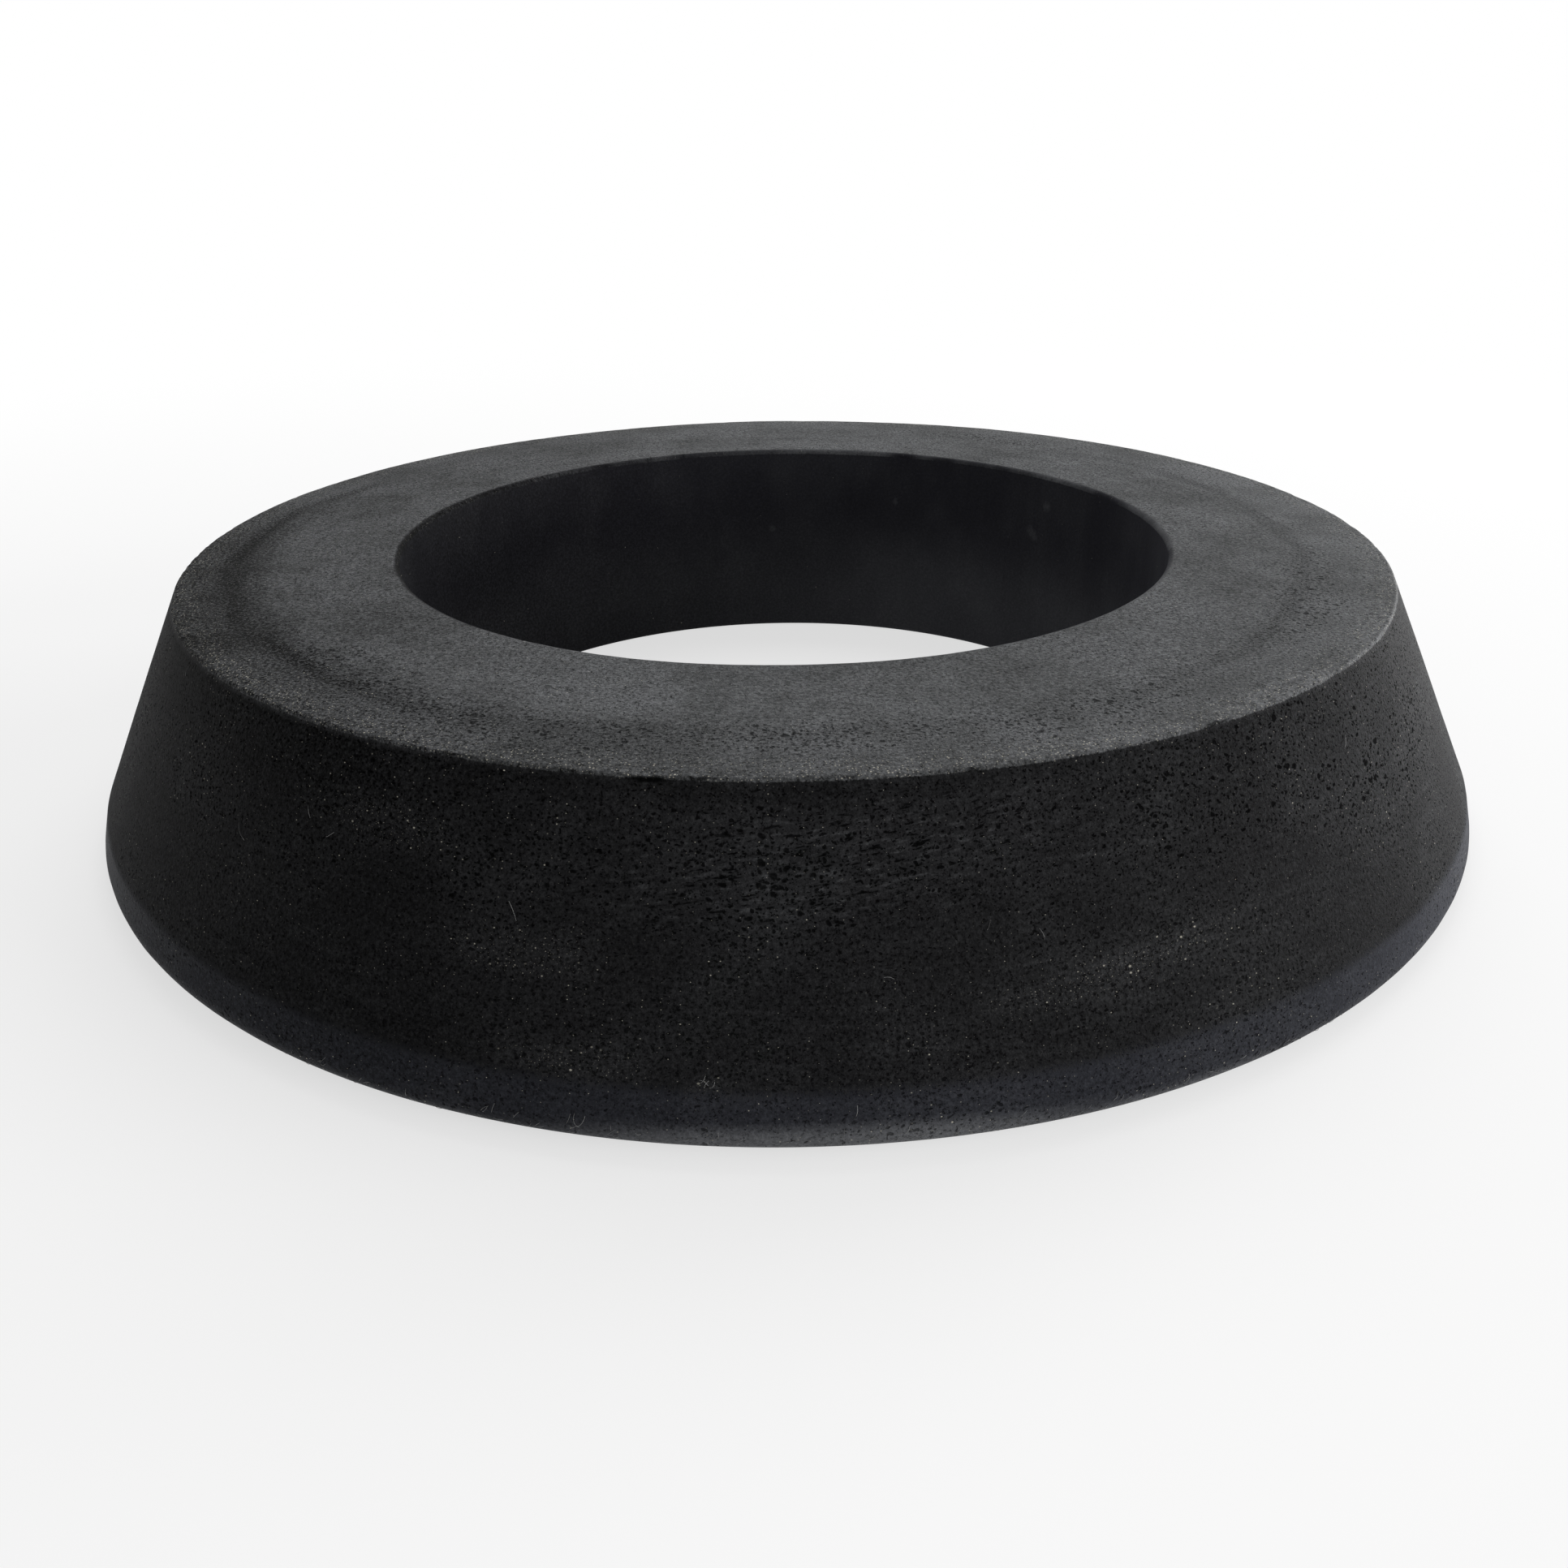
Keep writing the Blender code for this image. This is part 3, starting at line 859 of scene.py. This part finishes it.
def fibre_points(skin, angle, height, radius, length, heading, bend, arch):
    """Points of one fibre that starts at a place on the skin and lies along it, arched a little."""
    turn = math.radians(angle)
    point = Vector((radius * math.sin(turn), -radius * math.cos(turn), height))
    course = math.radians(heading)
    points = []
    for step in range(FIBRE_STEPS + 1):
        point, normal = skin.find_nearest(point)[:2]
        points.append(point + normal * (arch * math.sin(math.pi * step / FIBRE_STEPS)))
        around = Vector((0.0, 0.0, 1.0)).cross(normal).normalized()
        up = normal.cross(around)
        point = point + (around * math.cos(course) + up * math.sin(course)) * (length / FIBRE_STEPS)
        course += math.radians(bend) / FIBRE_STEPS
    return points


class GASKET_OT_ring(bpy.types.Operator):
    """Turn the ring from its section and roughen its skin"""

    bl_idname = "gasket.ring"
    bl_label = "Rubber ring"

    def execute(self, context):
        section = context.scene.gasket_section
        skin = context.scene.gasket_skin
        start = section_mesh(section)
        top_corner = section.bore_radius + section.top_width
        ring = made_by_nodes("rubber_ring", start, ring_tree(), {
            "Segments": skin.segments, "Rows": len(start.vertices), "Seed": skin.seed,
            "Rubber": moulded_rubber(context.scene.gasket_colours, section),
            "Front Crowding": skin.crowding,
            "Wave Height": skin.wave_height, "Wave Length": skin.wave_length,
            "Ripple Height": skin.ripple_height, "Ripple Length": skin.ripple_length,
            "Mark Radius": top_corner - section.border_width + MARK_OFFSET, "Mark Depth": skin.mark_depth,
            "Mark Width": skin.mark_width, "Corner Radius": top_corner,
            "Corner Height": RING_HEIGHT - section.border_drop, "Chip Depth": skin.chip_depth,
            "Nick Depth": skin.nick_depth,
        })
        for name, ovals in (("torn_skin", TORN_SKIN), ("pore_clusters", PORE_CLUSTERS),
                            ("dusty_patches", DUSTY_PATCHES), ("pale_foot", FOOT_REFLECTION_AND_DUST)):
            store_ovals(ring.data, name, ovals)
        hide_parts(RING_NODE)
        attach(ring, BODY)
        return {"FINISHED"}


class GASKET_OT_dust(bpy.types.Operator):
    """Scatter flecks of dust over the ring's skin"""

    bl_idname = "gasket.dust"
    bl_label = "Dust flecks"

    def execute(self, context):
        loose = context.scene.gasket_dust
        section = context.scene.gasket_section
        start = bpy.data.objects["rubber_ring"].data.copy()
        flecks = made_by_nodes("dust_flecks", start, dust_tree(), {
            "Spread": loose.spread, "On Corner": loose.on_corner, "On Foot": loose.on_foot,
            "Corner Radius": section.bore_radius + section.top_width, "Smallest": loose.smallest,
            "Largest": loose.largest, "Seed": loose.seed,
            "Dust": loose_material("mineral_dust", [*context.scene.gasket_colours.dust], 0.0007, 0.9)})
        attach(flecks, BODY)
        return {"FINISHED"}


class GASKET_OT_fibres(bpy.types.Operator):
    """Lay loose fibres on the skin, most of them along the foot"""

    bl_idname = "gasket.fibres"
    bl_label = "Loose fibres"

    def execute(self, context):
        loose = context.scene.gasket_dust
        section = context.scene.gasket_section
        ring = bpy.data.objects["rubber_ring"]
        skin = BVHTree.FromObject(ring, context.evaluated_depsgraph_get())
        chance = random.Random(loose.seed)
        wide = section.bore_radius + section.base_width
        low = section.band_height
        lines = [fibre_points(skin, angle, height, wide - (height - low) * CONE_SLOPE, length, heading, bend,
                              PLACED_ARCH) for angle, height, length, heading, bend in FIBRES]
        for count in range(FOOT_FIBRES):
            angle, height, length, heading, bend = (chance.uniform(*limits) for limits in FOOT_LIMITS)
            lines.append(fibre_points(skin, angle, height, wide + section.band_spread, length, heading, bend,
                                      FOOT_ARCH))
        for count in range(STRAY_FIBRES):
            height, angle, length, heading, bend = (chance.uniform(*limits) for limits in STRAY_LIMITS)
            lines.append(fibre_points(
                skin, angle, height, wide - (height - low) * CONE_SLOPE, length, heading, bend, STRAY_ARCH))
        points = [point for line in lines for point in line]
        edges = [(place, place + 1) for place in range(len(points) - 1) if (place + 1) % len(lines[0])]
        start = bpy.data.meshes.new("fibre_lines")
        start.from_pydata(points, edges, [])
        fibres = made_by_nodes("loose_fibres", start, fibre_tree(), {
            "Fibre Radius": loose.fibre, "Sides": 5,
            "Fibre": loose_material("loose_lint", [*context.scene.gasket_colours.lint], 0.0009, 0.7)})
        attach(fibres, BODY)
        return {"FINISHED"}


def seen_strength(add, otherwise):
    """A strength of 1 where the camera, gloss or glass sees it, and a lower one for all other light."""
    path = add("ShaderNodeLightPath").outputs
    seen = 0.0
    for ray in ("Is Camera Ray", "Is Glossy Ray", "Is Transmission Ray"):
        seen = add(MATH, [path[ray], seen], "MAXIMUM")
    return add(MAP_RANGE, {"Value": seen, "To Min": otherwise, "To Max": 1.0})


def pale_surface(name, tint, diffuse_share, bounce):
    """White card: it stays white to the camera and in reflections, and near the ring it takes a shadow."""
    material = bpy.data.materials.new(name)
    material.use_nodes = True
    tree = material.node_tree
    add = partial(add_node, tree)
    tree.nodes.clear()
    place = add("ShaderNodeTexCoord").outputs["Object"]
    away = add(VECTOR_MATH, [place], "LENGTH")
    share = add(MAP_RANGE, {
        "Value": away.outputs["Value"], "From Min": 0.07, "From Max": 0.22, "To Min": diffuse_share,
        "To Max": 0.0}, interpolation_type="SMOOTHSTEP")
    matte = add("ShaderNodeBsdfDiffuse", {"Color": tint})
    glow = add("ShaderNodeEmission", {"Color": tint, "Strength": seen_strength(add, bounce)})
    mix = add("ShaderNodeMixShader", [share, glow, matte])
    add("ShaderNodeOutputMaterial", {"Surface": mix})
    return material


def studio_room(level):
    """A world that is white where it is seen or mirrored, and gives soft level light otherwise."""
    world = bpy.data.worlds.new("studio_room")
    world.use_nodes = True
    tree = world.node_tree
    add = partial(add_node, tree)
    tree.nodes.clear()
    white = add("ShaderNodeBackground", {
        "Color": (1.0, 1.0, 1.0, 1.0), "Strength": seen_strength(add, level)})
    add("ShaderNodeOutputWorld", {"Surface": white})
    bpy.context.scene.world = world


def soft_lamp(name, place, width, height, brightness):
    """An oblong lamp that looks at the ring; brightness is what a mirror would show of it."""
    light = bpy.data.lights.new(name, "AREA")
    light.shape = "RECTANGLE"
    light.size = width
    light.size_y = height
    light.energy = brightness * math.pi * width * height
    lamp = bpy.data.objects.new(name, light)
    bpy.context.scene.collection.objects.link(lamp)
    lamp.location = place
    aim = Vector((0.0, 0.0, RING_HEIGHT / 2)) - Vector(place)
    lamp.rotation_mode = "QUATERNION"
    lamp.rotation_quaternion = aim.to_track_quat("-Z", "Y")
    lamp.visible_camera = False


def place_camera(studio):
    """A close camera in front of the ring and above it, turned a little to frame it."""
    lens = bpy.data.cameras.new("photo_camera")
    lens.sensor_width = 36.0
    lens.lens = studio.lens
    lens.clip_start = 0.005
    lens.clip_end = 50.0
    camera = bpy.data.objects.new("photo_camera", lens)
    bpy.context.scene.collection.objects.link(camera)
    look = (Matrix.Rotation(math.pi / 2 - studio.elevation - studio.pitch, 4, "X")
            @ Matrix.Rotation(studio.yaw, 4, "Y") @ Matrix.Rotation(studio.roll, 4, "Z"))
    stand = Matrix.Translation((0.0, -studio.distance * math.cos(studio.elevation),
                                studio.distance * math.sin(studio.elevation)))
    camera.matrix_world = stand @ look
    bpy.context.scene.camera = camera


class GASKET_OT_stage(bpy.types.Operator):
    """Set up the camera, the lamps, the room and the floor"""

    bl_idname = "gasket.stage"
    bl_label = "Studio"

    def execute(self, context):
        studio = context.scene.gasket_studio
        place_camera(studio)
        studio_room(studio.ambient)
        for name, place, width, height in LAMPS:
            soft_lamp("lamp_" + name, place, width, height, getattr(studio, name))
        corners = [(x * FLOOR_HALF, y * FLOOR_HALF, 0.0) for x, y in ((-1, -1), (1, -1), (1, 1), (-1, 1))]
        mesh = bpy.data.meshes.new("floor")
        mesh.from_pydata(corners, [], [(0, 1, 2, 3)])
        mesh.materials.append(pale_surface("floor_white", [*studio.floor, 1.0], MATTE_SHARE, studio.bounce))
        floor = bpy.data.objects.new("floor", mesh)
        context.scene.collection.objects.link(floor)
        context.scene.view_settings.view_transform = "Standard"
        return {"FINISHED"}


class GASKET_PT_panel(bpy.types.Panel):
    """Lists the pieces of the gasket and the studio"""

    bl_idname = "GASKET_PT_panel"
    bl_label = "Flush valve gasket"
    bl_space_type = "VIEW_3D"
    bl_region_type = "UI"
    bl_category = "Gasket"

    def draw(self, context):
        for operator in PIECES:
            self.layout.operator(operator.bl_idname)


PIECES = (GASKET_OT_stage, GASKET_OT_ring, GASKET_OT_dust, GASKET_OT_fibres)
SETTINGS = (("gasket_section", GasketSection), ("gasket_skin", GasketSkin), ("gasket_dust", GasketDust),
            ("gasket_colours", GasketColours), ("gasket_studio", GasketStudio))
CLASSES = (*(group for name, group in SETTINGS), *PIECES, GASKET_PT_panel)


def register():
    for item in CLASSES:
        bpy.utils.register_class(item)
    for name, group in SETTINGS:
        setattr(bpy.types.Scene, name, PointerProperty(type=group))


def unregister():
    for name, group in SETTINGS:
        delattr(bpy.types.Scene, name)
    for item in reversed(CLASSES):
        bpy.utils.unregister_class(item)


def main():
    register()
    bpy.ops.gasket.stage()
    bpy.ops.gasket.ring()
    bpy.ops.gasket.dust()
    bpy.ops.gasket.fibres()


if __name__ == "__main__":
    main()
